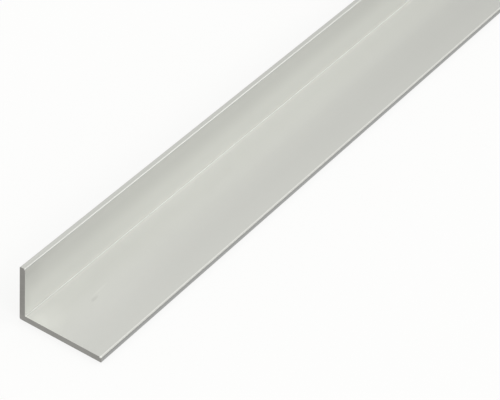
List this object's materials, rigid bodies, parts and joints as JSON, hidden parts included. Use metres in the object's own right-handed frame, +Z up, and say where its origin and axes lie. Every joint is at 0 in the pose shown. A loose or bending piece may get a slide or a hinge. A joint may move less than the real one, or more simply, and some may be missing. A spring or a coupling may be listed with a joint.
{
  "type": "aluminium angle section",
  "caption": "Unequal-leg aluminium angle section: a straight L-shaped bar with thin walls, rounded edges and square sawn ends, for framing, edging and brackets.",
  "frame": {"origin": "middle of the underside of the bounding box: under the long leg, half way along the bar", "axes": "+X across the long leg, from the heel to the toe; +Y along the bar, from the near sawn end to the far one; +Z up, the way the short leg stands"},
  "size_m": [0.03, 1, 0.02],
  "materials": {
    "anodised_aluminium": "satin silver anodised skin, with bare sawn ends"
  },
  "bodies": {
    "root": {"angle_section": "anodised_aluminium"}
  },
  "joints": []
}
